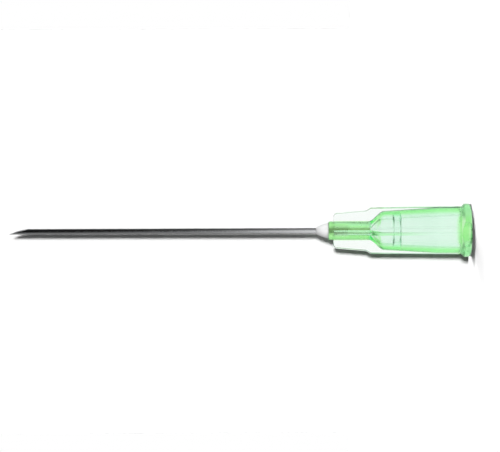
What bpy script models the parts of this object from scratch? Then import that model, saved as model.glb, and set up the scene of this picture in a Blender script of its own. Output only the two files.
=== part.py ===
"""A 21 gauge hypodermic needle: a lancet-ground steel tube bonded into a finned, translucent luer hub.

Metres, +Z up. The open end face of the hub lies at z = 0, the point is up, and the bevel faces +X.
"""

import math

import bmesh
import bpy
from mathutils import Matrix, Vector

MM = 0.001

# Cannula
TUBE_RADIUS = 0.41 * MM
TUBE_WALL = 0.155 * MM
EXPOSED_LENGTH = 47.0 * MM
BEVEL_LENGTH = 2.8 * MM
BEVEL_ANGLE = math.radians(14.0)
LANCET_ANGLE = math.radians(24.0)
LANCET_TURN = math.radians(32.0)
FOOT_INSET = 0.15 * MM

# Hub, lock flange
CORE_RADIUS = 3.39 * MM
LUG_PROUD = 0.51 * MM
LUG_CREST_END = 1.0 * MM
LUG_EDGE = 0.12 * MM
LUG_FOOT_FILLET = 0.4 * MM
FLAT_PROUD = 0.06 * MM
REAR_CORNER = 0.45 * MM

# Hub, barrel, shoulder and neck
BARREL_LENGTH = 12.7 * MM
BARREL_BREAK = 5.0 * MM
BARREL_BREAK_DROP = 0.03 * MM
BARREL_BLEND = 30.0 * MM
SHOULDER_RADIUS = 2.87 * MM
SHOULDER_LENGTH = 2.45 * MM
NECK_RADIUS = 1.355 * MM
NECK_LENGTH = 5.77 * MM
NOSE_EDGE = 0.12 * MM

# Hub, fins: each "proud" is measured from the surface below it
FIN_COUNT = 4
FIN_ROOT_WIDTH = 0.56 * MM
FIN_EDGE_WIDTH = 0.42 * MM
FIN_FRONT_INSET = 0.73 * MM
FIN_FRONT_PROUD = 1.15 * MM
FIN_FRONT_CORNER = 0.55 * MM
FIN_NECK_PROUD = 1.57 * MM
FIN_NECK_INSET = 0.25 * MM
FIN_STEP_LENGTH = 0.73 * MM
FIN_SHOULDER_PROUD = 0.46 * MM
FIN_FOOT_PROUD = 0.15 * MM

# Hub, inside: a stop ring stands in from the end of the socket, with the chamber beyond it
SOCKET_MOUTH_RADIUS = 2.15 * MM
SOCKET_TAPER = 0.06
MOUTH_CHAMFER = 0.15 * MM
RING_LENGTH = 1.1 * MM
RING_HEIGHT = 0.38 * MM
RING_RAMP = 0.12 * MM
CHAMBER_DROP = 0.15 * MM
CHAMBER_LENGTH = 1.6 * MM
CHAMBER_DRAFT = 0.05 * MM
CHAMBER_CORNER = 0.2 * MM
FUNNEL_LENGTH = 1.5 * MM
THROAT_INSET = 0.65 * MM
BORE_CLEARANCE = 0.03 * MM
WELL_ROOM = 0.24 * MM
WELL_DEPTH = 2.87 * MM

# Adhesive
BEAD_LENGTH = 1.84 * MM
BEAD_INSET = 0.15 * MM
BEAD_TIP_EDGE = 0.06 * MM
BEAD_BULGE = 0.05 * MM
BOND_GAP = 0.03 * MM

# Facets
HUB_SEGMENTS = 64
TUBE_SEGMENTS = 48
ARC_STEPS = 4
SHOULDER_STEPS = 10
BEAD_STEPS = 6
SMOOTH_ANGLE = math.radians(32.0)

# How far a cutter runs past what it cuts, and the distance under which points on the axis are one
OVERSHOOT = 1.0 * MM
SAME_POINT = 0.0001 * MM

LUG_RADIUS = CORE_RADIUS + LUG_PROUD
LUG_FOOT = LUG_CREST_END + LUG_PROUD
SHOULDER_END = BARREL_LENGTH + SHOULDER_LENGTH
HUB_LENGTH = SHOULDER_END + NECK_LENGTH
FUNNEL_END = SHOULDER_END - THROAT_INSET
CHAMBER_END = FUNNEL_END - FUNNEL_LENGTH
CHAMBER_START = CHAMBER_END - CHAMBER_LENGTH
SOCKET_END = CHAMBER_START - RING_LENGTH
SOCKET_END_RADIUS = SOCKET_MOUTH_RADIUS - SOCKET_END * SOCKET_TAPER / 2
RING_RADIUS = SOCKET_END_RADIUS - RING_HEIGHT
CHAMBER_RADIUS = SOCKET_END_RADIUS - CHAMBER_DROP
BORE_RADIUS = TUBE_RADIUS + BORE_CLEARANCE
WELL_RADIUS = TUBE_RADIUS + WELL_ROOM
WELL_FLOOR = HUB_LENGTH - WELL_DEPTH
CANNULA_FOOT = FUNNEL_END + FOOT_INSET
CANNULA_LENGTH = HUB_LENGTH + EXPOSED_LENGTH - CANNULA_FOOT


def clear_scene():
    for item in list(bpy.data.objects):
        bpy.data.objects.remove(item, do_unlink=True)


def material(name, colour, roughness, metallic=0.0, transmission=0.0, ior=1.5):
    made = bpy.data.materials.new(name)
    made.use_nodes = True
    shader = made.node_tree.nodes["Principled BSDF"]
    shader.inputs["Base Color"].default_value = (*colour, 1.0)
    shader.inputs["Roughness"].default_value = roughness
    shader.inputs["Metallic"].default_value = metallic
    shader.inputs["Transmission Weight"].default_value = transmission
    shader.inputs["IOR"].default_value = ior
    return made


def rounded(corners):
    """Points (radius, height) of an outline whose corners are (radius, height, fillet)."""
    points = []
    for index, (radius, height, fillet) in enumerate(corners):
        corner = Vector((radius, height))
        if fillet == 0.0:
            points.append(corner)
            continue
        back = (Vector(corners[index - 1][:2]) - corner).normalized()
        onward = (Vector(corners[(index + 1) % len(corners)][:2]) - corner).normalized()
        half_angle = back.angle(onward) / 2
        centre = corner + (back + onward).normalized() * fillet / math.sin(half_angle)
        first = corner + back * fillet / math.tan(half_angle) - centre
        last = corner + onward * fillet / math.tan(half_angle) - centre
        for step in range(ARC_STEPS + 1):
            points.append(centre + first.slerp(last, step / ARC_STEPS).normalized() * fillet)
    return points


def mesh_object(name, bm, skin=None):
    bmesh.ops.recalc_face_normals(bm, faces=bm.faces)
    mesh = bpy.data.meshes.new(name)
    bm.to_mesh(mesh)
    bm.free()
    mesh.shade_smooth()
    mesh.set_sharp_from_angle(angle=SMOOTH_ANGLE)
    made = bpy.data.objects.new(name, mesh)
    bpy.context.collection.objects.link(made)
    if skin:
        mesh.materials.append(skin)
    else:
        made.hide_render = True
        made.display_type = 'WIRE'
    return made


def turned(name, points, segments, ring=False, skin=None):
    """An outline turned about Z. It starts and ends on the axis, or closes on itself as a ring."""
    bm = bmesh.new()
    verts = [bm.verts.new((radius, 0.0, height)) for radius, height in points]
    edges = [bm.edges.new(pair) for pair in zip(verts, verts[1:])]
    if ring:
        edges.append(bm.edges.new((verts[-1], verts[0])))
    bmesh.ops.spin(bm, geom=verts + edges, cent=(0, 0, 0), axis=(0, 0, 1), dvec=(0, 0, 0),
                   angle=math.tau, steps=segments, use_merge=True)
    bmesh.ops.remove_doubles(bm, verts=bm.verts, dist=SAME_POINT)
    return mesh_object(name, bm, skin)


def combine(target, tool, operation):
    modifier = target.modifiers.new(operation.title() + " " + tool.name, 'BOOLEAN')
    modifier.operation = operation
    modifier.solver = 'EXACT'
    modifier.object = tool
    tool.parent = target


def hub_outside():
    """The turned outside of the hub, from the middle of the end face to the middle of the nose."""
    corners = [
        (0.0, 0.0, 0.0),
        (LUG_RADIUS, 0.0, REAR_CORNER),
        (LUG_RADIUS, LUG_CREST_END, LUG_EDGE),
        (CORE_RADIUS, LUG_FOOT, LUG_FOOT_FILLET),
        (CORE_RADIUS - BARREL_BREAK_DROP, BARREL_BREAK, BARREL_BLEND),
    ]
    for step in range(SHOULDER_STEPS + 1):
        share = step / SHOULDER_STEPS
        fall = (1 - math.cos(math.pi * share)) / 2
        radius = SHOULDER_RADIUS + (NECK_RADIUS - SHOULDER_RADIUS) * fall
        corners.append((radius, BARREL_LENGTH + SHOULDER_LENGTH * share, 0.0))
    corners.append((NECK_RADIUS, HUB_LENGTH, NOSE_EDGE))
    corners.append((0.0, HUB_LENGTH, 0.0))
    return rounded(corners)


def hub_inside():
    """The core of the hub: luer socket, stop ring, chamber, funnel, tight bore and adhesive well."""
    chamfer_reach = MOUTH_CHAMFER + OVERSHOOT
    return rounded([
        (0.0, -OVERSHOOT, 0.0),
        (SOCKET_MOUTH_RADIUS + chamfer_reach, -OVERSHOOT, 0.0),
        (SOCKET_MOUTH_RADIUS - MOUTH_CHAMFER * SOCKET_TAPER / 2, MOUTH_CHAMFER, 0.0),
        (SOCKET_END_RADIUS, SOCKET_END, 0.0),
        (RING_RADIUS, SOCKET_END + RING_RAMP, 0.0),
        (RING_RADIUS, CHAMBER_START - RING_RAMP, 0.0),
        (CHAMBER_RADIUS, CHAMBER_START, 0.0),
        (CHAMBER_RADIUS - CHAMBER_DRAFT, CHAMBER_END, CHAMBER_CORNER),
        (BORE_RADIUS, FUNNEL_END, 0.0),
        (BORE_RADIUS, WELL_FLOOR, 0.0),
        (WELL_RADIUS, WELL_FLOOR, 0.0),
        (WELL_RADIUS, HUB_LENGTH + OVERSHOOT, 0.0),
        (0.0, HUB_LENGTH + OVERSHOOT, 0.0),
    ])


def flange_flats():
    """Two blocks that leave a lock lug at +X and at -X, with a flat between them on each side."""
    bm = bmesh.new()
    near = CORE_RADIUS + FLAT_PROUD
    far = LUG_RADIUS + OVERSHOOT
    for side in (1, -1):
        block = bmesh.ops.create_cube(bm, size=1.0)["verts"]
        bmesh.ops.scale(bm, verts=block, vec=(2 * far, far - near, LUG_FOOT + 2 * OVERSHOOT))
        bmesh.ops.translate(bm, verts=block, vec=(0.0, side * (near + far) / 2, LUG_FOOT / 2))
    return mesh_object("flange_flats", bm)


def fin_outline():
    """The edge of one fin as (radius, height), from its foot at the flange round to its root."""
    neck_edge = NECK_RADIUS + FIN_NECK_PROUD
    front_edge = NECK_RADIUS + FIN_FRONT_PROUD
    front = HUB_LENGTH - FIN_FRONT_INSET
    step_top = SHOULDER_END + FIN_NECK_INSET
    root = (WELL_RADIUS + NECK_RADIUS) / 2
    return rounded([
        (root, LUG_FOOT, 0.0),
        (CORE_RADIUS + FIN_FOOT_PROUD, LUG_FOOT, 0.0),
        (SHOULDER_RADIUS + FIN_SHOULDER_PROUD, step_top - FIN_STEP_LENGTH, 0.0),
        (neck_edge, step_top, 0.0),
        (front_edge, front, FIN_FRONT_CORNER),
        (root, front, 0.0),
    ])


def fins():
    """The fins, each thinner at its edge than at its root, spaced evenly from +X."""
    bm = bmesh.new()
    edge_radius = CORE_RADIUS + FIN_FOOT_PROUD
    thinning = (FIN_ROOT_WIDTH - FIN_EDGE_WIDTH) / (edge_radius - NECK_RADIUS)
    outline = fin_outline()
    for index in range(FIN_COUNT):
        turn = Matrix.Rotation(math.tau * index / FIN_COUNT, 3, 'Z')
        for side in (1, -1):
            loop = []
            for radius, height in outline:
                half_width = (FIN_ROOT_WIDTH - (radius - NECK_RADIUS) * thinning) / 2
                loop.append(bm.verts.new(turn @ Vector((radius, side * half_width, height))))
            bm.faces.new(loop)
        bmesh.ops.bridge_loops(bm, edges=[edge for edge in bm.edges if edge.is_boundary])
    return mesh_object("fins", bm)


def build_hub(parent):
    green = material("green_polypropylene", (0.42, 0.86, 0.42), 0.28, transmission=0.8, ior=1.49)
    hub = turned("hub", hub_outside(), HUB_SEGMENTS, skin=green)
    hub.parent = parent
    combine(hub, flange_flats(), 'DIFFERENCE')
    combine(hub, fins(), 'UNION')
    combine(hub, turned("hub_core", hub_inside(), HUB_SEGMENTS), 'DIFFERENCE')


def half_space(name, through, normal, size):
    """A block whose near face lies in the plane through a point, and which fills the normal's side."""
    bm = bmesh.new()
    bmesh.ops.create_cube(bm, size=size)
    bmesh.ops.translate(bm, verts=bm.verts, vec=(0.0, 0.0, size / 2))
    block = mesh_object(name, bm)
    block.rotation_mode = 'QUATERNION'
    block.rotation_quaternion = normal.to_track_quat('Z', 'Y')
    block.location = through
    return block


def build_cannula(parent):
    steel = material("stainless_steel", (0.62, 0.63, 0.64), 0.24, metallic=1.0)
    bore = TUBE_RADIUS - TUBE_WALL
    heel = CANNULA_LENGTH - BEVEL_LENGTH
    stock = heel + 2 * TUBE_RADIUS / math.tan(BEVEL_ANGLE) + OVERSHOOT
    outline = [(TUBE_RADIUS, 0.0), (TUBE_RADIUS, stock), (bore, stock), (bore, 0.0)]
    cannula = turned("cannula", outline, TUBE_SEGMENTS, ring=True, skin=steel)
    cannula.location = (0.0, 0.0, CANNULA_FOOT)
    cannula.parent = parent
    block_size = 2 * (stock - heel) + 2 * TUBE_RADIUS
    bevel_normal = Vector((math.cos(BEVEL_ANGLE), 0.0, math.sin(BEVEL_ANGLE)))
    bevel = half_space("bevel_grind", (TUBE_RADIUS, 0.0, heel), bevel_normal, block_size)
    combine(cannula, bevel, 'DIFFERENCE')
    for name, turn in (("lancet_grind_left", LANCET_TURN), ("lancet_grind_right", -LANCET_TURN)):
        across = math.cos(LANCET_ANGLE)
        normal = Vector((across * math.cos(turn), across * math.sin(turn), math.sin(LANCET_ANGLE)))
        grind = half_space(name, (-TUBE_RADIUS, 0.0, CANNULA_LENGTH), normal, block_size)
        combine(cannula, grind, 'DIFFERENCE')


def build_bead(parent):
    """The adhesive, measured from the nose of the hub: a plug below it and a cone above it."""
    clear = material("cured_adhesive", (0.80, 0.81, 0.81), 0.45, transmission=0.4)
    hole = TUBE_RADIUS + BOND_GAP
    plug = WELL_RADIUS - BOND_GAP
    base = NECK_RADIUS - BEAD_INSET
    tip = hole + BEAD_TIP_EDGE
    outline = [(hole, BOND_GAP - WELL_DEPTH), (plug, BOND_GAP - WELL_DEPTH), (plug, BOND_GAP)]
    for step in range(BEAD_STEPS + 1):
        share = step / BEAD_STEPS
        radius = base + (tip - base) * share + BEAD_BULGE * math.sin(math.pi * share)
        outline.append((radius, BOND_GAP + (BEAD_LENGTH - BOND_GAP) * share))
    outline.append((hole, BEAD_LENGTH))
    bead = turned("adhesive_bead", outline, TUBE_SEGMENTS, ring=True, skin=clear)
    bead.location = (0.0, 0.0, HUB_LENGTH)
    bead.parent = parent


clear_scene()
needle = bpy.data.objects.new("needle", None)
bpy.context.collection.objects.link(needle)
build_hub(needle)
build_cannula(needle)
build_bead(needle)
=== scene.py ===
import math

import bmesh
import bpy
from mathutils import Matrix, Vector


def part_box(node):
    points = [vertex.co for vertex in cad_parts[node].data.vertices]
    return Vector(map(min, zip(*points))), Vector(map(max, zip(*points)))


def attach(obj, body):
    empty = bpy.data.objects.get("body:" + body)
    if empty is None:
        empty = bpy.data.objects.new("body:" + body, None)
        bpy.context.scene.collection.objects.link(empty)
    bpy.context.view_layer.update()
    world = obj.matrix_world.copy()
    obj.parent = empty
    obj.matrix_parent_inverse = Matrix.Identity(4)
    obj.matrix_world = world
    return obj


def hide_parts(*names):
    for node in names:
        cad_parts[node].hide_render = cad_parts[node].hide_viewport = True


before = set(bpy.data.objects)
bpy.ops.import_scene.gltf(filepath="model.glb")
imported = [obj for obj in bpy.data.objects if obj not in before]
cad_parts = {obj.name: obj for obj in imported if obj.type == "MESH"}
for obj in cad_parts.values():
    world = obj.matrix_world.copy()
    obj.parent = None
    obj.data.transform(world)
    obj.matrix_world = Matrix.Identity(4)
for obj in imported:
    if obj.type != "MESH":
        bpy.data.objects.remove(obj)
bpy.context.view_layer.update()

MM = 0.001

# The photograph, 500 by 452 pixels, with the needle lying along its width
PHOTO_WIDTH = 500
PHOTO_HEIGHT = 452
PIXEL = 0.1472 * MM
HUB_END_X = 470.6
AXIS_Y = 231.0
CAMERA_DISTANCE = 412 * MM
CAMERA_TURN = math.radians(9.8)
CAMERA_ROLL = math.radians(-0.21)
CAMERA_NEAR = 10 * MM
SENSOR_WIDTH = 36.0

# Sizes of the hub that its outer box doesn't give
CORE_RADIUS = 3.39 * MM
LUG_CREST_END = 1.0 * MM
LUG_EDGE = 0.12 * MM
LUG_FOOT_FILLET = 0.4 * MM
FLAT_PROUD = 0.06 * MM
REAR_CORNER = 0.45 * MM
BARREL_LENGTH = 12.7 * MM
BARREL_BREAK = 5.0 * MM
BARREL_BREAK_DROP = 0.03 * MM
BARREL_BLEND = 30.0 * MM
SHOULDER_RADIUS = 2.87 * MM
SHOULDER_LENGTH = 2.45 * MM
NECK_RADIUS = 1.355 * MM
NOSE_EDGE = 0.12 * MM
FIN_COUNT = 4
FIN_ROOT_WIDTH = 0.56 * MM
FIN_EDGE_WIDTH = 0.42 * MM
FIN_FRONT_INSET = 0.73 * MM
FIN_FRONT_PROUD = 1.15 * MM
FIN_FRONT_CORNER = 0.55 * MM
FIN_NECK_PROUD = 1.57 * MM
FIN_NECK_INSET = 0.25 * MM
FIN_STEP_LENGTH = 0.73 * MM
FIN_SHOULDER_PROUD = 0.46 * MM
FIN_EDGE_ROUND = 0.1 * MM
SOCKET_MOUTH_RADIUS = 2.15 * MM
SOCKET_TAPER = 0.06
MOUTH_CHAMFER = 0.15 * MM
RING_LENGTH = 1.1 * MM
RING_HEIGHT = 0.38 * MM
RING_RAMP = 0.12 * MM
RING_ROUND = 0.2 * MM
CHAMBER_DROP = 0.15 * MM
CHAMBER_LENGTH = 1.6 * MM
CHAMBER_DRAFT = 0.05 * MM
CHAMBER_CORNER = 0.2 * MM
FUNNEL_LENGTH = 1.5 * MM
THROAT_INSET = 0.65 * MM
BORE_CLEARANCE = 0.03 * MM
WELL_ROOM = 0.24 * MM
WELL_DEPTH = 2.87 * MM

# Cannula and adhesive
TUBE_WALL = 0.155 * MM
BEVEL_LENGTH = 2.8 * MM
BEVEL_ANGLE = math.radians(14.0)
LANCET_ANGLE = math.radians(24.0)
LANCET_TURN = math.radians(32.0)
BEAD_INSET = 0.15 * MM
BEAD_TIP_EDGE = 0.06 * MM
BEAD_BULGE = 0.05 * MM
BOND_GAP = 0.03 * MM

# Fineness of the meshes, and how far a cutter runs past what it cuts
HUB_SEGMENTS = 144
TUBE_SEGMENTS = 96
ARC_STEPS = 8
SHOULDER_STEPS = 28
BEAD_STEPS = 20
FIN_EDGE_STEPS = 3
SMOOTH_ANGLE = math.radians(30.0)
OVERSHOOT = 1.0 * MM
SAME_POINT = 0.00005 * MM

# Stage, behind and below the standing needle
FLOOR_SIZE = 1000 * MM
FLOOR_DROP = 0.02 * MM
BACKDROP_WIDTH = 60 * MM
BACKDROP_HEIGHT = 90 * MM
BACKDROP_DISTANCE = 4.3 * MM
BACKDROP_LEAN = math.radians(0.8)
STAGE_SEEN = (0.93, 0.93, 0.93, 1.0)
STAGE_UNSEEN = (0.1, 0.1, 0.1, 1.0)
FLOOR_MIRRORED = 0.9
BACKDROP_MIRRORED = 0.0

# Lamps: each shines along one main direction, with these shares of the other two
LAMP_SPREAD = math.radians(8.0)
KEY_STRENGTH = 3.3
KEY_RIGHTWARD = 0.065
KEY_DOWNWARD = 0.2
TOP_STRENGTH = 3.5
TOP_FORWARD = 0.39
TOP_DOWNWARD = 0.1

# World: a dim fill, and the studio that the steel mirrors, bright at the horizon and darker above
FILL_STRENGTH = 0.05
STUDIO_STRENGTH = 0.46
STUDIO_LIMIT = 1.4
STUDIO_FALL = 42.0
RAISED_SHADE = 0.7
UPPER_SHADE = 0.85
REAR_SHADE = 0.65
REAR_GLOW = 0.24
LOWER_GLOW = 0.26
FAR_GLOW = 0.9
FAR_GLOW_SHARES = (0.2, 0.9)

# Where each shade and glow of the studio begins, and where it is full. Across is how far a direction
# points up in the picture, ahead how far towards the camera, and rise how far along +Z
RAISED_ACROSS = (-0.8, 0.2)
RAISED_RISE = (-0.01, 0.02)
UPPER_ACROSS = (-0.2, 1.2)
REAR_AHEAD = (0.3, -0.3)
REAR_GLOW_AHEAD = (0.4, -0.3)
LOWER_GLOW_ACROSS = (-0.45, -0.95)
FAR_GLOW_AHEAD = (-0.6, -0.95)
FAR_GLOW_ACROSS = (-0.3, 0.3)

# Where the plastic's tints begin and end: from the edges of the places that they mark, and by how
# the surface faces
TINT_FADE = 0.1 * MM
NECK_TINT_GAP = 0.05 * MM
NECK_TINT_REACH = 0.02 * MM
NECK_TINT_LEAD = 0.8 * MM
FLANGE_TINT_LEAD = 0.5 * MM
WALL_TINT_DEPTH = 0.3 * MM
SHOULDER_TINT_FADE = 0.15 * MM
SHOULDER_TINT_LEAD = 0.4 * MM
FIN_EDGE_DEPTH = 0.08 * MM
FIN_EDGE_FACING = (0.6, 0.9)
RIM_SLANT = (0.2, 0.48)

# Tints and strengths of the materials
WHITE = (1.0, 1.0, 1.0, 1.0)
RIM_TINT = (0.33, 1.0, 0.23, 1.0)
FIN_EDGE_TINT = (0.5, 1.0, 0.45, 1.0)
NECK_TINT = (0.54, 1.0, 0.42, 1.0)
FLANGE_TINT = (0.71, 1.0, 0.61, 1.0)
CLOUD_SPAN = (0.3, 0.7)
CLOUD_TINT = (0.985, 0.985, 0.985, 1.0)
BODY_TINT = (0.0, 1.0, 0.4, 1.0)
BODY_DENSITY = 102.0
PLASTIC_IOR = 1.49
PLASTIC_CLOUDS = 900.0
PLASTIC_GRAIN = 5200.0
PLASTIC_GRAIN_HEIGHT = 0.01 * MM
PLASTIC_ROUGHNESS = (0.09, 0.19)
SOLID_HAZE = 0.14
STEEL_DARK = (0.53, 0.54, 0.55, 1.0)
STEEL_PALE = (0.64, 0.65, 0.66, 1.0)
# Painted light: a paler, warmer steel for the tube inside the hub, so that it doesn't show dark through
# the neck
STEEL_PAINTED_PALE_IN_HUB = (0.88, 0.84, 0.80, 1.0)
DRAWN_LINES = (26000.0, 26000.0, 260.0)
DRAWN_LINE_SPAN = (0.25, 0.75)
DRAWN_LINE_HEIGHT = 0.004 * MM
SCUFFS = (5000.0, 5000.0, 1400.0)
STEEL_ROUGHNESS = (0.07, 0.13)
BURIED_FADE = 0.3 * MM
BURIED_HAZE = 0.5
GROUND_DARK = (0.66, 0.67, 0.68, 1.0)
GROUND_PALE = (0.80, 0.81, 0.82, 1.0)
WHEEL_MARKS = (900.0, 900.0, 21000.0)
WHEEL_MARK_SPAN = (0.3, 0.7)
WHEEL_MARK_HEIGHT = 0.003 * MM
GROUND_ROUGHNESS = (0.16, 0.28)
GROUND_MATCH = 0.999
CONE_BASE = (0.95, 0.955, 0.95, 1.0)
CONE_TIP = (0.78, 0.79, 0.79, 1.0)
CONE_ROUGHNESS = (0.28, 0.53)
CONE_SCATTER = 0.8
PLUG_ROUGHNESS = (0.15, 0.25)
PLUG_CLOUD = (0.96, 0.98, 0.96, 1.0)
RESIN_IOR = 1.5
RESIN_LUMPS = 1500.0
RESIN_LUMP_HEIGHT = 0.03 * MM
RESIN_DEPTH = 0.7 * MM

HUB_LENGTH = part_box("hub")[1].z
LUG_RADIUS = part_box("hub")[1].x
FIN_FOOT_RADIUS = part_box("hub")[1].y
CANNULA_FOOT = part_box("cannula")[0].z
CANNULA_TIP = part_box("cannula")[1].z
TUBE_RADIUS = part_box("cannula")[1].x
BEAD_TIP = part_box("adhesive_bead")[1].z
LUG_FOOT = LUG_CREST_END + LUG_RADIUS - CORE_RADIUS
SHOULDER_END = BARREL_LENGTH + SHOULDER_LENGTH
FUNNEL_END = SHOULDER_END - THROAT_INSET
CHAMBER_END = FUNNEL_END - FUNNEL_LENGTH
CHAMBER_START = CHAMBER_END - CHAMBER_LENGTH
SOCKET_END = CHAMBER_START - RING_LENGTH
SOCKET_END_RADIUS = SOCKET_MOUTH_RADIUS - SOCKET_END * SOCKET_TAPER / 2
RING_RADIUS = SOCKET_END_RADIUS - RING_HEIGHT
CHAMBER_RADIUS = SOCKET_END_RADIUS - CHAMBER_DROP
FIN_EDGE_FALL = FIN_FOOT_RADIUS - SHOULDER_RADIUS - FIN_SHOULDER_PROUD
FIN_EDGE_SLOPE = FIN_EDGE_FALL / (SHOULDER_END - LUG_FOOT)
BORE_RADIUS = TUBE_RADIUS + BORE_CLEARANCE
WELL_RADIUS = TUBE_RADIUS + WELL_ROOM
WELL_FLOOR = HUB_LENGTH - WELL_DEPTH

# Directions in the photograph: towards the camera, and up and to the right in the picture
BACK = Vector((math.sin(CAMERA_TURN), -math.cos(CAMERA_TURN), 0.0))
PICTURE_UP = Vector((math.cos(CAMERA_TURN), math.sin(CAMERA_TURN), 0.0))
PICTURE_RIGHT = Vector((0.0, 0.0, -1.0))


class Nodes:
    """A small helper that adds shader nodes and joins them."""

    def __init__(self, tree):
        self.tree = tree
        tree.nodes.clear()

    def add(self, kind, **settings):
        node = self.tree.nodes.new(kind)
        for name, value in settings.items():
            setattr(node, name, value)
        return node

    def join(self, output, socket):
        self.tree.links.new(output, socket)

    def put(self, socket, value):
        """Join an output to the socket, or set the socket to a value."""
        if isinstance(value, bpy.types.NodeSocket):
            self.join(value, socket)
        else:
            socket.default_value = value

    def maths(self, operation, *values, clamp=False):
        node = self.add('ShaderNodeMath', operation=operation, use_clamp=clamp)
        for socket, value in zip(node.inputs, values):
            self.put(socket, value)
        return node.outputs[0]

    def ramp(self, value, low, high):
        """0 below low, 1 above high, smooth between; high may be the smaller one."""
        node = self.add('ShaderNodeMapRange', interpolation_type='SMOOTHSTEP')
        self.put(node.inputs["Value"], value)
        self.put(node.inputs["From Min"], low)
        self.put(node.inputs["From Max"], high)
        return node.outputs["Result"]

    def mix_colour(self, factor, first, second, blend='MIX'):
        node = self.add('ShaderNodeMix', data_type='RGBA', blend_type=blend)
        self.put(node.inputs["Factor"], factor)
        self.put(node.inputs[6], first)
        self.put(node.inputs[7], second)
        return node.outputs[2]

    def mix_shader(self, factor, first, second):
        node = self.add('ShaderNodeMixShader')
        self.put(node.inputs[0], factor)
        self.join(first, node.inputs[1])
        self.join(second, node.inputs[2])
        return node.outputs[0]

    def noise(self, coordinates, scale, detail=4.0, roughness=0.5):
        node = self.add('ShaderNodeTexNoise')
        self.join(coordinates, node.inputs["Vector"])
        node.inputs["Scale"].default_value = scale
        node.inputs["Detail"].default_value = detail
        node.inputs["Roughness"].default_value = roughness
        return node.outputs["Fac"]

    def stretched(self, coordinates, scale):
        node = self.add('ShaderNodeMapping')
        self.join(coordinates, node.inputs["Vector"])
        node.inputs["Scale"].default_value = scale
        return node.outputs["Vector"]

    def product(self, first, *others):
        for other in others:
            first = self.maths('MULTIPLY', first, other)
        return first

    def between(self, share, low, high):
        """low where the share is 0, high where it is 1."""
        return self.maths('MULTIPLY_ADD', share, high - low, low)

    def parts(self, vector):
        """The vector's X, Y and Z, by name."""
        node = self.add('ShaderNodeSeparateXYZ')
        self.join(vector, node.inputs[0])
        return node.outputs

    def unit(self, vector):
        node = self.add('ShaderNodeVectorMath', operation='NORMALIZE')
        self.join(vector, node.inputs[0])
        return node.outputs["Vector"]

    def length(self, vector):
        node = self.add('ShaderNodeVectorMath', operation='LENGTH')
        self.join(vector, node.inputs[0])
        return node.outputs["Value"]

    def dot(self, first, second):
        node = self.add('ShaderNodeVectorMath', operation='DOT_PRODUCT')
        self.put(node.inputs[0], first)
        self.put(node.inputs[1], second)
        return node.outputs["Value"]

    def place(self):
        """The point that is shaded, in the piece's own frame."""
        return self.add('ShaderNodeTexCoord').outputs["Object"]

    def mirrored(self, ray):
        """1 for a ray off a mirror; rays through glass count as glossy too, and are taken out."""
        return self.maths('SUBTRACT', ray.outputs["Is Glossy Ray"], ray.outputs["Is Transmission Ray"],
                          clamp=True)

    def seen_through(self, ray):
        """1 for a ray that comes through glass and hasn't been scattered by a matt surface."""
        unscattered = self.maths('LESS_THAN', ray.outputs["Diffuse Depth"], 0.5)
        return self.maths('MULTIPLY', ray.outputs["Is Transmission Ray"], unscattered)

    def bump(self, height, strength, distance):
        node = self.add('ShaderNodeBump')
        self.join(height, node.inputs["Height"])
        node.inputs["Strength"].default_value = strength
        node.inputs["Distance"].default_value = distance
        return node.outputs["Normal"]

    def principled(self, colour, roughness, normal=None, **settings):
        """A Principled BSDF. A setting is named as its socket, with underscores for spaces."""
        shader = self.add('ShaderNodeBsdfPrincipled')
        self.put(shader.inputs["Base Color"], colour)
        self.put(shader.inputs["Roughness"], roughness)
        if normal is not None:
            self.join(normal, shader.inputs["Normal"])
        for name, value in settings.items():
            shader.inputs[name.replace("_", " ")].default_value = value
        return shader.outputs[0]

    def finish(self, surface, volume=None):
        output = self.add('ShaderNodeOutputMaterial')
        self.join(surface, output.inputs["Surface"])
        if volume is not None:
            self.join(volume, output.inputs["Volume"])


def new_material(name):
    material = bpy.data.materials.new(name)
    material.use_nodes = True
    return material, Nodes(material.node_tree)


def thick_places(nodes, height, radius):
    """Where the moulding is thick: the solid neck, and the flange."""
    inner = WELL_RADIUS + NECK_TINT_GAP
    outer = NECK_RADIUS + NECK_TINT_REACH
    neck_wall = nodes.product(nodes.ramp(radius, inner, inner + TINT_FADE),
                              nodes.ramp(radius, outer + TINT_FADE, outer))
    on_neck = nodes.product(nodes.ramp(height, SHOULDER_END - NECK_TINT_LEAD, SHOULDER_END), neck_wall)
    on_flange = nodes.ramp(height, LUG_FOOT + FLANGE_TINT_LEAD, LUG_FOOT)
    return on_neck, on_flange


def outside_of_barrel(nodes, height, radius, fin_edge):
    """The outer wall of the barrel and shoulder, with the fins' flanks but not their edges."""
    wall = nodes.product(nodes.maths('LESS_THAN', radius, fin_edge),
                         nodes.ramp(radius, SOCKET_MOUTH_RADIUS, SHOULDER_RADIUS - WALL_TINT_DEPTH))
    shoulder = nodes.product(nodes.maths('GREATER_THAN', height, BARREL_LENGTH),
                             nodes.ramp(radius, NECK_RADIUS, NECK_RADIUS + SHOULDER_TINT_FADE))
    return nodes.product(nodes.maths('MAXIMUM', wall, shoulder),
                         nodes.ramp(height, SHOULDER_END, SHOULDER_END - SHOULDER_TINT_LEAD))


def edges_of_fins(nodes, place, height, radius, fin_edge):
    """The narrow outer faces of the fins, where they stand out from the barrel and shoulder."""
    outward = nodes.unit(nodes.stretched(place, (1.0, 1.0, 0.0)))
    facing_out = nodes.dot(outward, nodes.add('ShaderNodeNewGeometry').outputs["True Normal"])
    edge = nodes.product(nodes.ramp(facing_out, *FIN_EDGE_FACING),
                         nodes.maths('GREATER_THAN', radius, fin_edge))
    return nodes.product(edge, nodes.ramp(height, BARREL_BREAK, BARREL_LENGTH),
                         nodes.maths('LESS_THAN', height, SHOULDER_END + FIN_NECK_INSET))


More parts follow.
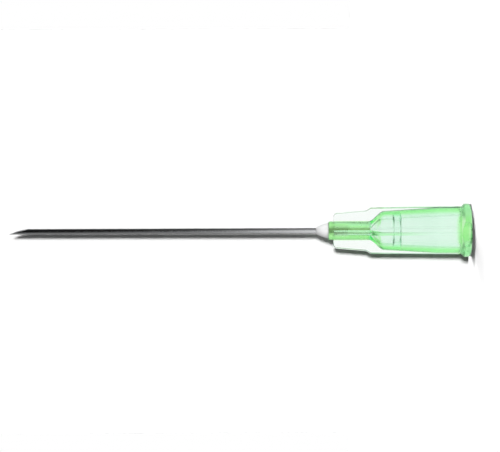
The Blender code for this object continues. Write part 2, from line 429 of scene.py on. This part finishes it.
def green_polypropylene():
    """Clear green plastic: pale where it is thin or hollow, deeper in the solid neck and flange."""
    material, nodes = new_material("green_polypropylene")
    place = nodes.place()
    height = nodes.parts(place)["Z"]
    radius = nodes.length(nodes.stretched(place, (1.0, 1.0, 0.0)))
    fin_edge = nodes.maths('MULTIPLY_ADD', height, -FIN_EDGE_SLOPE, FIN_FOOT_RADIUS - FIN_EDGE_DEPTH)
    on_neck, on_flange = thick_places(nodes, height, radius)
    slant = nodes.ramp(nodes.add('ShaderNodeLayerWeight').outputs["Facing"], *RIM_SLANT)
    rim = nodes.product(slant, outside_of_barrel(nodes, height, radius, fin_edge))
    fin_edges = nodes.product(edges_of_fins(nodes, place, height, radius, fin_edge),
                              nodes.maths('SUBTRACT', 1.0, slant))
    tint = WHITE
    for mask, mask_tint in ((rim, RIM_TINT), (fin_edges, FIN_EDGE_TINT),
                            (on_neck, NECK_TINT), (on_flange, FLANGE_TINT)):
        tint = nodes.mix_colour(mask, tint, mask_tint)
    mottle = nodes.noise(place, PLASTIC_CLOUDS)
    clouds = nodes.mix_colour(nodes.ramp(mottle, *CLOUD_SPAN), CLOUD_TINT, WHITE)
    colour = nodes.mix_colour(1.0, tint, clouds, blend='MULTIPLY')
    solid = nodes.maths('MAXIMUM', on_neck, on_flange)
    roughness = nodes.maths('MULTIPLY_ADD', solid, SOLID_HAZE, nodes.between(mottle, *PLASTIC_ROUGHNESS))
    grain = nodes.noise(place, PLASTIC_GRAIN, detail=3.0)
    surface = nodes.principled(colour, roughness,
                               nodes.bump(grain, strength=0.12, distance=PLASTIC_GRAIN_HEIGHT),
                               IOR=PLASTIC_IOR, Transmission_Weight=1.0)
    body = nodes.add('ShaderNodeVolumeAbsorption')
    body.inputs["Color"].default_value = BODY_TINT
    body.inputs["Density"].default_value = BODY_DENSITY
    nodes.finish(surface, body.outputs[0])
    return material


def drawn_steel():
    """Stainless tube: fine lines drawn along it, with a few short scuffs, and painted paler and warmer
    where it sits inside the hub.
    """
    material, nodes = new_material("drawn_steel")
    place = nodes.place()
    lines = nodes.noise(nodes.stretched(place, DRAWN_LINES), 1.0, detail=5.0, roughness=0.6)
    scuffs = nodes.noise(nodes.stretched(place, SCUFFS), 1.0, detail=3.0)
    buried = nodes.ramp(nodes.parts(place)["Z"], HUB_LENGTH + BURIED_FADE, HUB_LENGTH)
    colour = nodes.mix_colour(nodes.ramp(lines, *DRAWN_LINE_SPAN), STEEL_DARK, STEEL_PALE)
    # Painted light: the tube is drawn paler and warmer where it sits inside the hub
    colour = nodes.mix_colour(buried, colour, STEEL_PAINTED_PALE_IN_HUB)
    roughness = nodes.maths('MULTIPLY_ADD', buried, BURIED_HAZE, nodes.between(scuffs, *STEEL_ROUGHNESS))
    surface = nodes.principled(colour, roughness,
                               nodes.bump(lines, strength=0.12, distance=DRAWN_LINE_HEIGHT), Metallic=1.0)
    nodes.finish(surface)
    return material


def ground_steel():
    """The three ground faces of the point: brighter, with the wheel's marks across them."""
    material, nodes = new_material("ground_steel")
    stretched = nodes.stretched(nodes.place(), WHEEL_MARKS)
    marks = nodes.noise(stretched, 1.0, detail=4.0, roughness=0.65)
    colour = nodes.mix_colour(nodes.ramp(marks, *WHEEL_MARK_SPAN), GROUND_DARK, GROUND_PALE)
    surface = nodes.principled(colour, nodes.between(marks, *GROUND_ROUGHNESS),
                               nodes.bump(marks, strength=0.3, distance=WHEEL_MARK_HEIGHT), Metallic=1.0)
    nodes.finish(surface)
    return material


def cured_adhesive():
    """The cone: frosted pale grey resin, a little darker towards its tip."""
    material, nodes = new_material("cured_adhesive")
    place = nodes.place()
    lumps = nodes.noise(place, RESIN_LUMPS, detail=3.0)
    along = nodes.ramp(nodes.parts(place)["Z"], HUB_LENGTH, BEAD_TIP)
    colour = nodes.mix_colour(along, CONE_BASE, CONE_TIP)
    surface = nodes.principled(colour, nodes.between(lumps, *CONE_ROUGHNESS),
                               nodes.bump(lumps, strength=0.25, distance=RESIN_LUMP_HEIGHT),
                               Subsurface_Weight=CONE_SCATTER, Subsurface_Radius=(1.0, 1.0, 1.0),
                               Subsurface_Scale=RESIN_DEPTH)
    nodes.finish(surface)
    return material


def clear_adhesive():
    """The plug: the same resin, clear where it wets the well of the neck."""
    material, nodes = new_material("clear_adhesive")
    lumps = nodes.noise(nodes.place(), RESIN_LUMPS, detail=3.0)
    colour = nodes.mix_colour(nodes.ramp(lumps, *CLOUD_SPAN), PLUG_CLOUD, WHITE)
    surface = nodes.principled(colour, nodes.between(lumps, *PLUG_ROUGHNESS),
                               IOR=RESIN_IOR, Transmission_Weight=1.0)
    nodes.finish(surface)
    return material


def rounded(corners):
    """Points (radius, height) of an outline whose corners are (radius, height, fillet)."""
    points = []
    for index, (radius, height, fillet) in enumerate(corners):
        corner = Vector((radius, height))
        if fillet == 0.0:
            points.append(corner)
            continue
        back = (Vector(corners[index - 1][:2]) - corner).normalized()
        onward = (Vector(corners[(index + 1) % len(corners)][:2]) - corner).normalized()
        half_angle = back.angle(onward) / 2
        centre = corner + (back + onward).normalized() * fillet / math.sin(half_angle)
        first = corner + back * fillet / math.tan(half_angle) - centre
        last = corner + onward * fillet / math.tan(half_angle) - centre
        for step in range(ARC_STEPS + 1):
            points.append(centre + first.slerp(last, step / ARC_STEPS).normalized() * fillet)
    return points


def mesh_object(name, bm):
    """An object made of the bmesh, with its faces turned outwards."""
    bmesh.ops.recalc_face_normals(bm, faces=bm.faces)
    mesh = bpy.data.meshes.new(name)
    bm.to_mesh(mesh)
    bm.free()
    made = bpy.data.objects.new(name, mesh)
    bpy.context.scene.collection.objects.link(made)
    return made


def turned(name, points, segments, ring=False):
    """An outline turned about Z. It starts and ends on the axis, or closes on itself as a ring."""
    bm = bmesh.new()
    verts = [bm.verts.new((radius, 0.0, height)) for radius, height in points]
    edges = [bm.edges.new(pair) for pair in zip(verts, verts[1:])]
    if ring:
        edges.append(bm.edges.new((verts[-1], verts[0])))
    bmesh.ops.spin(bm, geom=verts + edges, cent=(0, 0, 0), axis=(0, 0, 1), dvec=(0, 0, 0),
                   angle=math.tau, steps=segments, use_merge=True)
    bmesh.ops.remove_doubles(bm, verts=bm.verts, dist=SAME_POINT)
    return mesh_object(name, bm)


def carve(target, tools):
    """Apply each (tool, operation) as a Boolean and delete the tools."""
    for tool, operation in tools:
        modifier = target.modifiers.new(tool.name, 'BOOLEAN')
        modifier.operation = operation
        modifier.object = tool
    graph = bpy.context.evaluated_depsgraph_get()
    mesh = bpy.data.meshes.new_from_object(target.evaluated_get(graph))
    target.modifiers.clear()
    target.data = mesh
    for tool, _ in tools:
        bpy.data.objects.remove(tool)


def dress(piece, node, materials):
    """Shade the finished mesh, give it its materials and let it stand for its node."""
    piece.data.shade_smooth()
    piece.data.set_sharp_from_angle(angle=SMOOTH_ANGLE)
    weighted = piece.modifiers.new("even_normals", 'WEIGHTED_NORMAL')
    weighted.keep_sharp = True
    piece.data.materials.clear()
    for material in materials:
        piece.data.materials.append(material)
    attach(piece, "root")
    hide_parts(node)


def hub_outside():
    """The turned outside of the hub, from the middle of the end face to the middle of the nose."""
    corners = [
        (0.0, 0.0, 0.0),
        (LUG_RADIUS, 0.0, REAR_CORNER),
        (LUG_RADIUS, LUG_CREST_END, LUG_EDGE),
        (CORE_RADIUS, LUG_FOOT, LUG_FOOT_FILLET),
        (CORE_RADIUS - BARREL_BREAK_DROP, BARREL_BREAK, BARREL_BLEND),
    ]
    for step in range(SHOULDER_STEPS + 1):
        share = step / SHOULDER_STEPS
        fall = (1 - math.cos(math.pi * share)) / 2
        radius = SHOULDER_RADIUS + (NECK_RADIUS - SHOULDER_RADIUS) * fall
        corners.append((radius, BARREL_LENGTH + SHOULDER_LENGTH * share, 0.0))
    corners.append((NECK_RADIUS, HUB_LENGTH, NOSE_EDGE))
    corners.append((0.0, HUB_LENGTH, 0.0))
    return rounded(corners)


def hub_inside():
    """The core of the hub: tapered socket, stop ring, chamber, funnel, tight bore and adhesive well."""
    chamfer_reach = MOUTH_CHAMFER + OVERSHOOT
    return rounded([
        (0.0, -OVERSHOOT, 0.0),
        (SOCKET_MOUTH_RADIUS + chamfer_reach, -OVERSHOOT, 0.0),
        (SOCKET_MOUTH_RADIUS - MOUTH_CHAMFER * SOCKET_TAPER / 2, MOUTH_CHAMFER, 0.0),
        (SOCKET_END_RADIUS, SOCKET_END, RING_ROUND),
        (RING_RADIUS, SOCKET_END + RING_RAMP, RING_ROUND),
        (RING_RADIUS, CHAMBER_START - RING_RAMP, RING_ROUND),
        (CHAMBER_RADIUS, CHAMBER_START, RING_ROUND),
        (CHAMBER_RADIUS - CHAMBER_DRAFT, CHAMBER_END, CHAMBER_CORNER),
        (BORE_RADIUS, FUNNEL_END, 0.0),
        (BORE_RADIUS, WELL_FLOOR, 0.0),
        (WELL_RADIUS, WELL_FLOOR, 0.0),
        (WELL_RADIUS, HUB_LENGTH + OVERSHOOT, 0.0),
        (0.0, HUB_LENGTH + OVERSHOOT, 0.0),
    ])


def flange_flats():
    """Two blocks that cut the flats between the lock lugs."""
    bm = bmesh.new()
    near = CORE_RADIUS + FLAT_PROUD
    far = LUG_RADIUS + OVERSHOOT
    for side in (1, -1):
        block = bmesh.ops.create_cube(bm, size=1.0)["verts"]
        bmesh.ops.scale(bm, verts=block, vec=(2 * far, far - near, LUG_FOOT + 2 * OVERSHOOT))
        bmesh.ops.translate(bm, verts=block, vec=(0.0, side * (near + far) / 2, LUG_FOOT / 2))
    return mesh_object("flange_flats", bm)


def fin_outline():
    """The edge of one fin as (radius, height), from its foot at the flange round to its root."""
    step_top = SHOULDER_END + FIN_NECK_INSET
    front = HUB_LENGTH - FIN_FRONT_INSET
    root = (WELL_RADIUS + NECK_RADIUS) / 2
    return rounded([
        (root, LUG_FOOT, 0.0),
        (FIN_FOOT_RADIUS, LUG_FOOT, 0.0),
        (SHOULDER_RADIUS + FIN_SHOULDER_PROUD, step_top - FIN_STEP_LENGTH, 0.0),
        (NECK_RADIUS + FIN_NECK_PROUD, step_top, 0.0),
        (NECK_RADIUS + FIN_FRONT_PROUD, front, FIN_FRONT_CORNER),
        (root, front, 0.0),
    ])


def fins():
    """The fins, drafted from root to edge, with their long edges rounded."""
    bm = bmesh.new()
    thinning = (FIN_ROOT_WIDTH - FIN_EDGE_WIDTH) / (FIN_FOOT_RADIUS - NECK_RADIUS)
    outline = fin_outline()
    for index in range(FIN_COUNT):
        turn = Matrix.Rotation(math.tau * index / FIN_COUNT, 3, 'Z')
        for side in (1, -1):
            loop = []
            for radius, height in outline:
                half_width = (FIN_ROOT_WIDTH - (radius - NECK_RADIUS) * thinning) / 2
                loop.append(bm.verts.new(turn @ Vector((radius, side * half_width, height))))
            bm.faces.new(loop)
        bmesh.ops.bridge_loops(bm, edges=[edge for edge in bm.edges if edge.is_boundary])
    sides = [face for face in bm.faces if len(face.verts) == len(outline)]
    rims = {edge for face in sides for edge in face.edges
            if all(vert.co.xy.length > NECK_RADIUS for vert in edge.verts)}
    bmesh.ops.bevel(bm, geom=list(rims), offset=FIN_EDGE_ROUND, segments=FIN_EDGE_STEPS,
                    profile=0.5, affect='EDGES')
    return mesh_object("fins", bm)


def make_hub():
    """The turned outside with its flats, the fins joined to it, and the core cut out of both."""
    hub = turned("hub_moulding", hub_outside(), HUB_SEGMENTS)
    carve(hub, [(flange_flats(), 'DIFFERENCE')])
    carve(hub, [(fins(), 'UNION')])
    carve(hub, [(turned("hub_core", hub_inside(), HUB_SEGMENTS), 'DIFFERENCE')])
    dress(hub, "hub", [green_polypropylene()])


def half_space(name, through, normal, size):
    """A block whose near face lies in the plane through a point, and which fills the normal's side."""
    bm = bmesh.new()
    bmesh.ops.create_cube(bm, size=size)
    bmesh.ops.translate(bm, verts=bm.verts, vec=(0.0, 0.0, size / 2))
    turn = normal.to_track_quat('Z', 'Y').to_matrix().to_4x4()
    bmesh.ops.transform(bm, matrix=Matrix.Translation(through) @ turn, verts=bm.verts)
    return mesh_object(name, bm)


def make_cannula():
    """A bored tube, ground to a bevel and two lancet facets, which have their own steel."""
    bore = TUBE_RADIUS - TUBE_WALL
    heel = CANNULA_TIP - BEVEL_LENGTH
    stock = heel + 2 * TUBE_RADIUS / math.tan(BEVEL_ANGLE) + OVERSHOOT
    outline = [(TUBE_RADIUS, CANNULA_FOOT), (TUBE_RADIUS, stock), (bore, stock), (bore, CANNULA_FOOT)]
    cannula = turned("cannula_tube", outline, TUBE_SEGMENTS, ring=True)
    size = 2 * (stock - heel) + 2 * TUBE_RADIUS
    normals = [Vector((math.cos(BEVEL_ANGLE), 0.0, math.sin(BEVEL_ANGLE)))]
    grinds = [half_space("bevel_grind", Vector((TUBE_RADIUS, 0.0, heel)), normals[0], size)]
    for turn in (LANCET_TURN, -LANCET_TURN):
        across = math.cos(LANCET_ANGLE)
        normal = Vector((across * math.cos(turn), across * math.sin(turn), math.sin(LANCET_ANGLE)))
        normals.append(normal)
        grinds.append(half_space("lancet_grind", Vector((-TUBE_RADIUS, 0.0, CANNULA_TIP)), normal, size))
    for grind in grinds:
        carve(cannula, [(grind, 'DIFFERENCE')])
    dress(cannula, "cannula", [drawn_steel(), ground_steel()])
    for face in cannula.data.polygons:
        face.material_index = int(any(face.normal.dot(normal) > GROUND_MATCH for normal in normals))


def make_bead():
    """The adhesive round the tube: the frosted cone on the nose and the clear plug below it."""
    hole = TUBE_RADIUS + BOND_GAP
    plug = WELL_RADIUS - BOND_GAP
    base = NECK_RADIUS - BEAD_INSET
    tip = hole + BEAD_TIP_EDGE
    nose = HUB_LENGTH + BOND_GAP
    outline = [(hole, nose), (hole, WELL_FLOOR + BOND_GAP), (plug, WELL_FLOOR + BOND_GAP), (plug, nose)]
    for step in range(BEAD_STEPS + 1):
        share = step / BEAD_STEPS
        radius = base + (tip - base) * share + BEAD_BULGE * math.sin(math.pi * share)
        outline.append((radius, nose + (BEAD_TIP - nose) * share))
    outline.append((hole, BEAD_TIP))
    bead = turned("adhesive_cone", outline, TUBE_SEGMENTS, ring=True)
    dress(bead, "adhesive_bead", [cured_adhesive(), clear_adhesive()])
    for face in bead.data.polygons:
        face.material_index = int(face.center.z < nose - SAME_POINT)


def make_camera():
    """The photograph's view: the standing needle seen with its point to the left."""
    data = bpy.data.cameras.new("photo_camera")
    data.sensor_width = SENSOR_WIDTH
    data.lens = SENSOR_WIDTH * CAMERA_DISTANCE / (PHOTO_WIDTH * PIXEL)
    data.clip_start = CAMERA_NEAR
    camera = bpy.data.objects.new("photo_camera", data)
    bpy.context.scene.collection.objects.link(camera)
    middle = -PICTURE_RIGHT * (HUB_END_X - PHOTO_WIDTH / 2) * PIXEL
    middle += PICTURE_UP * (AXIS_Y - PHOTO_HEIGHT / 2) * PIXEL
    roll = Matrix.Rotation(CAMERA_ROLL, 3, BACK)
    turn = Matrix((roll @ PICTURE_RIGHT, roll @ PICTURE_UP, BACK)).transposed()
    camera.matrix_world = Matrix.Translation(middle + BACK * CAMERA_DISTANCE) @ turn.to_4x4()
    bpy.context.scene.camera = camera


def stage_plane(name, width, height, material):
    """A flat piece of the stage, with its middle at the origin and facing up."""
    bm = bmesh.new()
    bmesh.ops.create_grid(bm, x_segments=1, y_segments=1, size=0.5)
    bmesh.ops.scale(bm, verts=bm.verts, vec=(width, height, 1.0))
    plane = mesh_object(name, bm)
    plane.data.materials.append(material)
    return plane


def pale_surface(nodes, ray, mirrored):
    """White to the camera and through glass, a set grey in a mirror, and dim to all other light."""
    diffuse = nodes.add('ShaderNodeBsdfDiffuse')
    colour = nodes.mix_colour(ray.outputs["Is Camera Ray"], STAGE_UNSEEN, STAGE_SEEN)
    nodes.join(colour, diffuse.inputs["Color"])
    reflected = nodes.add('ShaderNodeEmission')
    reflected.inputs["Strength"].default_value = mirrored
    through = nodes.add('ShaderNodeEmission')
    surface = nodes.mix_shader(ray.outputs["Is Glossy Ray"], diffuse.outputs[0], reflected.outputs[0])
    return nodes.mix_shader(nodes.seen_through(ray), surface, through.outputs[0])


def floor_surface():
    material, nodes = new_material("pale_floor")
    nodes.finish(pale_surface(nodes, nodes.add('ShaderNodeLightPath'), FLOOR_MIRRORED))
    return material


def backdrop_surface():
    """Seen from its front only, and never in a mirror."""
    material, nodes = new_material("pale_backdrop")
    ray = nodes.add('ShaderNodeLightPath')
    surface = pale_surface(nodes, ray, BACKDROP_MIRRORED)
    behind = nodes.add('ShaderNodeNewGeometry').outputs["Backfacing"]
    clear = nodes.add('ShaderNodeBsdfTransparent')
    hidden = nodes.maths('MAXIMUM', nodes.mirrored(ray), behind)
    nodes.finish(nodes.mix_shader(hidden, surface, clear.outputs[0]))
    return material


def make_stage():
    """A floor just below the hub, and a backdrop close behind it that takes the shadow."""
    floor = stage_plane("floor", FLOOR_SIZE, FLOOR_SIZE, floor_surface())
    floor.location.z = -FLOOR_DROP
    wall = stage_plane("backdrop", BACKDROP_WIDTH, BACKDROP_HEIGHT, backdrop_surface())
    turn = Matrix((PICTURE_UP, -PICTURE_RIGHT, BACK)).transposed()
    lean = Matrix.Rotation(BACKDROP_LEAN, 3, PICTURE_UP) @ turn
    raised = Matrix.Translation((0.0, BACKDROP_HEIGHT / 2, 0.0))
    wall.matrix_world = Matrix.Translation(-BACK * BACKDROP_DISTANCE) @ lean.to_4x4() @ raised
    wall.visible_shadow = False


def sun(name, towards, strength):
    """A distant lamp that shines in a direction and isn't seen in mirrors or through glass."""
    data = bpy.data.lights.new(name, 'SUN')
    data.energy = strength
    data.angle = LAMP_SPREAD
    lamp = bpy.data.objects.new(name, data)
    bpy.context.scene.collection.objects.link(lamp)
    lamp.rotation_mode = 'QUATERNION'
    lamp.rotation_quaternion = towards.to_track_quat('-Z', 'Y')
    lamp.visible_glossy = False
    lamp.visible_transmission = False


def make_light():
    """The key casts the shadow on the backdrop, and the top lamp the one on the floor."""
    sun("key", -BACK + PICTURE_RIGHT * KEY_RIGHTWARD - PICTURE_UP * KEY_DOWNWARD, KEY_STRENGTH)
    sun("top", PICTURE_RIGHT + BACK * TOP_FORWARD - PICTURE_UP * TOP_DOWNWARD, TOP_STRENGTH)


def studio_level(nodes, direction):
    """How bright the mirrored studio is in a direction: shaded first, then lifted by its glows."""
    across = nodes.dot(direction, PICTURE_UP)
    ahead = nodes.dot(direction, BACK)
    rise = nodes.parts(direction)["Z"]
    fall = nodes.maths('EXPONENT', nodes.maths('MULTIPLY', rise, -STUDIO_FALL))
    level = nodes.maths('MINIMUM', nodes.maths('MULTIPLY', fall, STUDIO_STRENGTH), STUDIO_LIMIT)
    raised = nodes.product(nodes.ramp(across, *RAISED_ACROSS), nodes.ramp(rise, *RAISED_RISE))
    upper = nodes.ramp(across, *UPPER_ACROSS)
    rear = nodes.ramp(ahead, *REAR_AHEAD)
    for shaded, depth in ((raised, RAISED_SHADE), (upper, UPPER_SHADE), (rear, REAR_SHADE)):
        level = nodes.maths('MULTIPLY', level, nodes.between(shaded, 1.0, 1.0 - depth))
    behind = nodes.ramp(ahead, *REAR_GLOW_AHEAD)
    lower_side = nodes.ramp(across, *LOWER_GLOW_ACROSS)
    far_behind = nodes.product(nodes.ramp(ahead, *FAR_GLOW_AHEAD),
                               nodes.between(nodes.ramp(across, *FAR_GLOW_ACROSS), *FAR_GLOW_SHARES))
    for glow, strength in ((behind, REAR_GLOW), (lower_side, LOWER_GLOW), (far_behind, FAR_GLOW)):
        level = nodes.maths('MAXIMUM', level, nodes.maths('MULTIPLY', glow, strength))
    return level


def make_world():
    """White to the camera and through glass, the studio in a mirror, and a dim fill to all other light."""
    world = bpy.data.worlds.new("studio")
    world.use_nodes = True
    bpy.context.scene.world = world
    nodes = Nodes(world.node_tree)
    ray = nodes.add('ShaderNodeLightPath')
    direction = nodes.add('ShaderNodeTexCoord').outputs["Generated"]
    layers = []
    for strength in (FILL_STRENGTH, studio_level(nodes, direction), 1.0):
        background = nodes.add('ShaderNodeBackground')
        background.inputs["Color"].default_value = WHITE
        nodes.put(background.inputs["Strength"], strength)
        layers.append(background.outputs[0])
    fill, studio, white = layers
    lit = nodes.mix_shader(nodes.mirrored(ray), fill, studio)
    seen = nodes.maths('MAXIMUM', ray.outputs["Is Camera Ray"], nodes.seen_through(ray))
    output = nodes.add('ShaderNodeOutputWorld')
    nodes.join(nodes.mix_shader(seen, lit, white), output.inputs["Surface"])


make_hub()
make_cannula()
make_bead()
make_camera()
make_stage()
make_light()
make_world()
bpy.context.scene.view_settings.view_transform = 'Standard'
